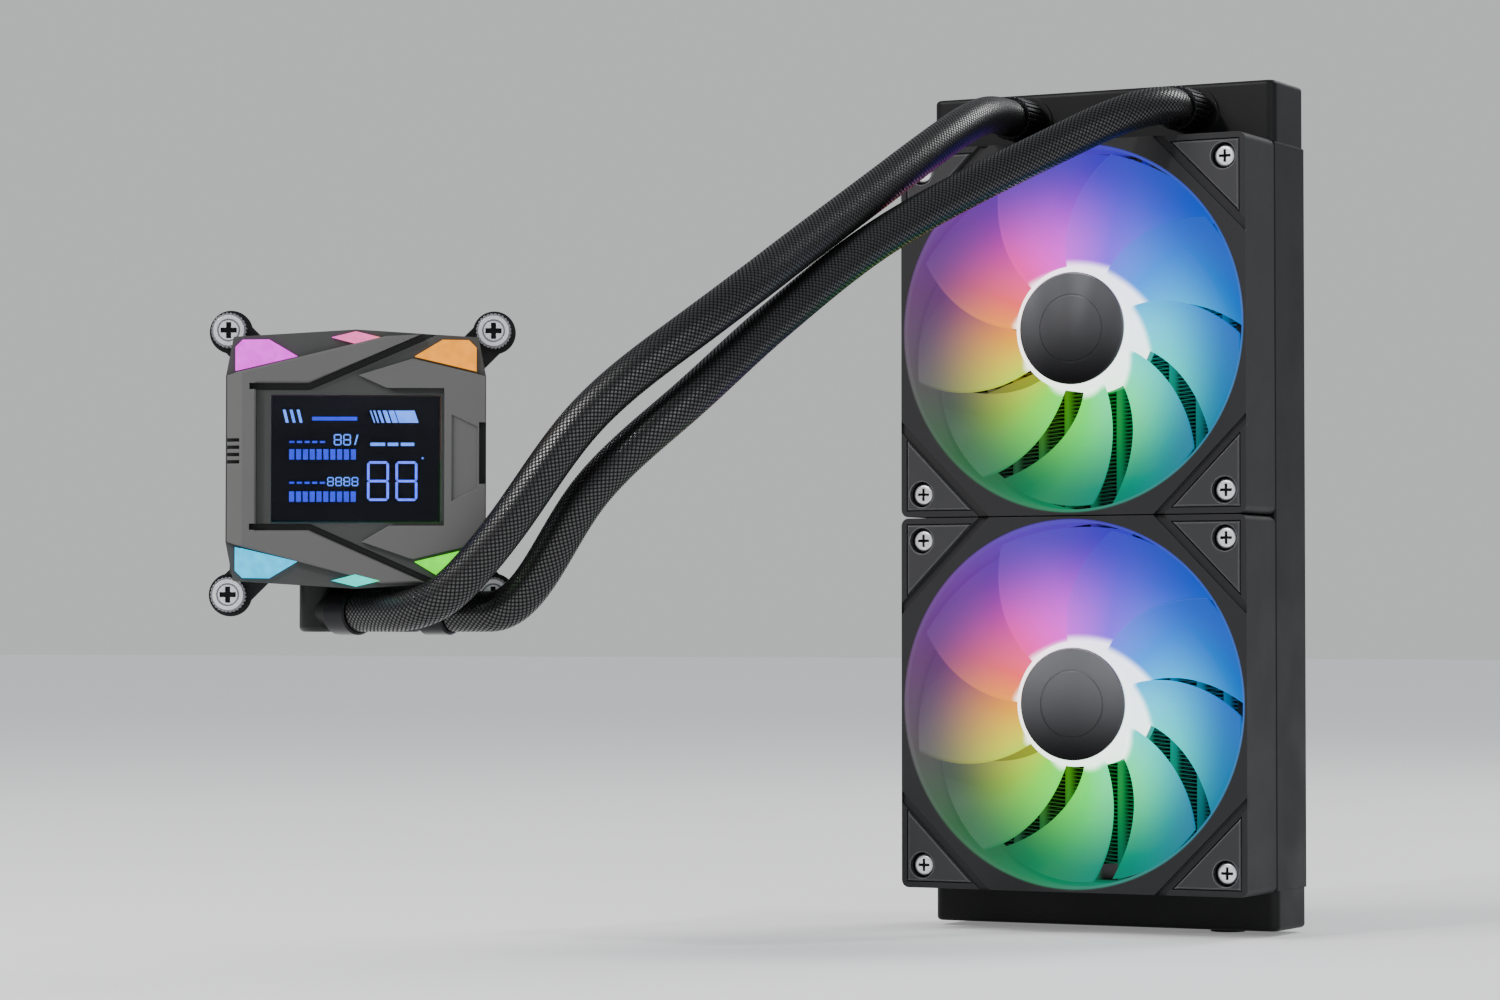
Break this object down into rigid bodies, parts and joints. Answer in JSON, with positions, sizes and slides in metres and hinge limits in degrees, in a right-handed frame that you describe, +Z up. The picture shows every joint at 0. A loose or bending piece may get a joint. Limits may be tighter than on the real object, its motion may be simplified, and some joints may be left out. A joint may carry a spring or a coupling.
{
  "type": "liquid cooling radiator",
  "caption": "Slim closed-loop cooler: radiator with lit fans, two braided hoses and a square pump head with a small display and swivel elbows.",
  "frame": {"origin": "centre of the rectangle of screw holes on the radiator's back face", "axes": "+X to the right seen from the fans' side, +Y out of the radiator's back, +Z up along the radiator's length towards the hoses' tank"},
  "size_m": [0.2488, 0.2837, 0.2722],
  "materials": {
    "black_paint": "satin black powder coat",
    "core_metal": "aluminium sheet, painted black",
    "black_metal": "black anodised, slightly shiny",
    "hose_rubber": "smooth black rubber",
    "braid": "tight black nylon braid with a fine sheen",
    "fan_plastic": "matte dark grey moulding with a fine grain",
    "pad": "matte dark grey pad",
    "blade": "frosted clear plastic, lit from the hub in a rainbow of colours",
    "hub_metal": "brushed dark grey metal",
    "magnet": "dull dark grey magnet",
    "steel": "bright machined steel",
    "bronze": "sintered bronze",
    "copper": "bare polished copper",
    "coil": "varnished copper windings",
    "circuit": "dark circuit board",
    "cable": "black cable",
    "seal": "black rubber ring",
    "pump_plastic": "black glass-filled moulding",
    "shell_metal": "black satin metal",
    "cover_plastic": "mid grey matte plastic with a fine grain",
    "window": "frosted light guide, lit in a different colour at each window",
    "display": "black display with blue and white digits and bars",
    "display_glass": "polished clear cover glass",
    "white_plastic": "white moulding"
  },
  "bodies": {
    "radiator": {"coolant_tubes": "core_metal", "cooling_fins": "core_metal", "header_plates": "core_metal", "port_tank": "black_paint", "return_tank": "black_paint", "fill_plug": "black_metal", "left_side_rail": "black_paint", "right_side_rail": "black_paint", "port_spouts": "black_metal", "hose_collars": "black_metal", "upper_fan_frame": "fan_plastic", "lower_fan_frame": "fan_plastic", "fan_bearings": "bronze", "fan_motor_coils": "coil", "fan_light_boards": "circuit", "fan_corner_pads": "pad", "fan_screws": "steel", "fan_cables": "cable", "supply_hose_radiator_end": "hose_rubber", "return_hose_radiator_end": "hose_rubber", "hose_sleeves_radiator_end": "braid"},
    "upper_fan": {"upper_fan_rotor": "blade", "upper_fan_hub_cap": "hub_metal", "upper_fan_magnet_ring": "magnet", "upper_fan_shaft": "steel"},
    "lower_fan": {"lower_fan_rotor": "blade", "lower_fan_hub_cap": "hub_metal", "lower_fan_magnet_ring": "magnet", "lower_fan_shaft": "steel"},
    "pump_head": {"cold_plate": "copper", "cold_plate_seal": "seal", "cold_plate_screws": "steel", "pump_housing": "pump_plastic", "pump_shaft": "steel", "pump_stator": "coil", "pump_board": "circuit", "pump_shell": "shell_metal", "light_guide": "window", "display_panel": "display", "display_glass": "display_glass", "pump_cover": "cover_plastic", "mounting_bracket": "black_metal", "screw_springs": "steel", "supply_hose_pump_end": "hose_rubber", "return_hose_pump_end": "hose_rubber", "hose_sleeves_pump_end": "braid", "pump_cable": "cable"},
    "impeller": {"pump_impeller": "white_plastic"},
    "supply_elbow_body": {"supply_elbow": "pump_plastic", "supply_hose_elbow_end": "hose_rubber", "supply_elbow_sleeve": "braid", "supply_elbow_collar": "black_metal"},
    "return_elbow_body": {"return_elbow": "pump_plastic", "return_hose_elbow_end": "hose_rubber", "return_elbow_sleeve": "braid", "return_elbow_collar": "black_metal"},
    "screw_1": {"thumb_screw_1": "steel"},
    "screw_2": {"thumb_screw_2": "steel"},
    "screw_3": {"thumb_screw_3": "steel"},
    "screw_4": {"thumb_screw_4": "steel"}
  },
  "joints": [
    {"name": "upper_fan_spin", "type": "hinge", "parent": "radiator", "child": "upper_fan", "pos_m": [0, -0.04, 0.06], "axis": [0, -1, 0], "continuous": true},
    {"name": "lower_fan_spin", "type": "hinge", "parent": "radiator", "child": "lower_fan", "pos_m": [0, -0.04, -0.06], "axis": [0, -1, 0], "continuous": true},
    {"name": "hose_flex", "type": "hinge", "parent": "radiator", "child": "pump_head", "pos_m": [-0.0363, -0.1844, 0.0633], "axis": [0, 0, 1], "range_deg": [-20, 20], "stiffness_Nm_per_rad": 1.5},
    {"name": "impeller_spin", "type": "hinge", "parent": "pump_head", "child": "impeller", "pos_m": [-0.145, -0.24139, 0.013], "axis": [0.5, -0.866, 0], "continuous": true},
    {"name": "supply_elbow_swivel", "type": "hinge", "parent": "pump_head", "child": "supply_elbow_body", "pos_m": [-0.15539, -0.24739, -0.031], "axis": [0, 0, 1], "range_deg": [-8, 8], "stiffness_Nm_per_rad": 0.2},
    {"name": "return_elbow_swivel", "type": "hinge", "parent": "pump_head", "child": "return_elbow_body", "pos_m": [-0.13461, -0.23539, -0.031], "axis": [0, 0, 1], "range_deg": [-8, 8], "stiffness_Nm_per_rad": 0.2},
    {"name": "screw_1_turn", "type": "hinge", "parent": "pump_head", "child": "screw_1", "pos_m": [-0.18477, -0.2505, 0.052], "axis": [0.5, -0.866, 0], "range_deg": [0, 1440]},
    {"name": "screw_2_turn", "type": "hinge", "parent": "pump_head", "child": "screw_2", "pos_m": [-0.11722, -0.2115, 0.052], "axis": [0.5, -0.866, 0], "range_deg": [0, 1440]},
    {"name": "screw_3_turn", "type": "hinge", "parent": "pump_head", "child": "screw_3", "pos_m": [-0.18477, -0.2505, -0.026], "axis": [0.5, -0.866, 0], "range_deg": [0, 1440]},
    {"name": "screw_4_turn", "type": "hinge", "parent": "pump_head", "child": "screw_4", "pos_m": [-0.11722, -0.2115, -0.026], "axis": [0.5, -0.866, 0], "range_deg": [0, 1440]}
  ]
}
